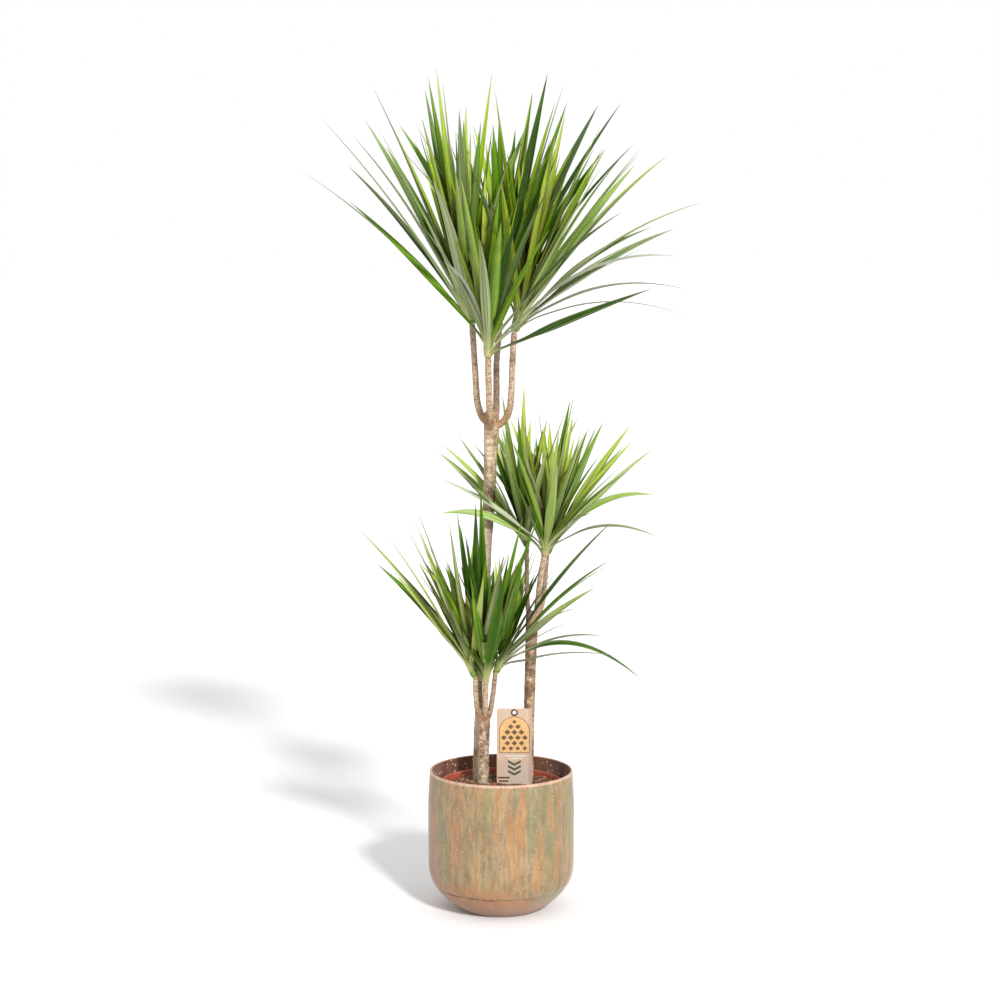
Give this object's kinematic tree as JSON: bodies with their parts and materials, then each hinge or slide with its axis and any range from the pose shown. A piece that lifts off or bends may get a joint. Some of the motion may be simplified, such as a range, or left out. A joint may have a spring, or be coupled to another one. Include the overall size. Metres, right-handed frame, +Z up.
{
  "type": "potted dracaena",
  "caption": "Indoor dracaena with bare canes of stepped heights and narrow pointed leaves, in a plastic nursery pot inside a round patinated sheet-metal planter.",
  "frame": {"origin": "middle of the planter's flat underside, which rests on the floor", "axes": "+Z up, -Y towards the side the picture shows, +X to the right of that view"},
  "size_m": [0.674, 0.5736, 1.425],
  "materials": {
    "patina": "matte",
    "copper": "satin",
    "terracotta_plastic": "satin",
    "soil": "matte",
    "bark_pale": "matte",
    "bark_brown": "matte",
    "bark_grey": "matte",
    "leaf_dark": "satin",
    "leaf_mid": "satin",
    "leaf_fresh": "satin",
    "label": "satin",
    "eyelet": "satin"
  },
  "bodies": {
    "root": {"planter_body": "patina", "planter_base": "copper", "nursery_pot": "terracotta_plastic", "soil": "soil", "cane_tall": "bark_pale", "cane_middle": "bark_brown", "cane_short": "bark_grey", "foliage_tall": "leaf_dark", "foliage_middle": "leaf_mid", "foliage_short": "leaf_fresh", "label_card": "label", "label_eyelet": "eyelet"}
  },
  "joints": []
}
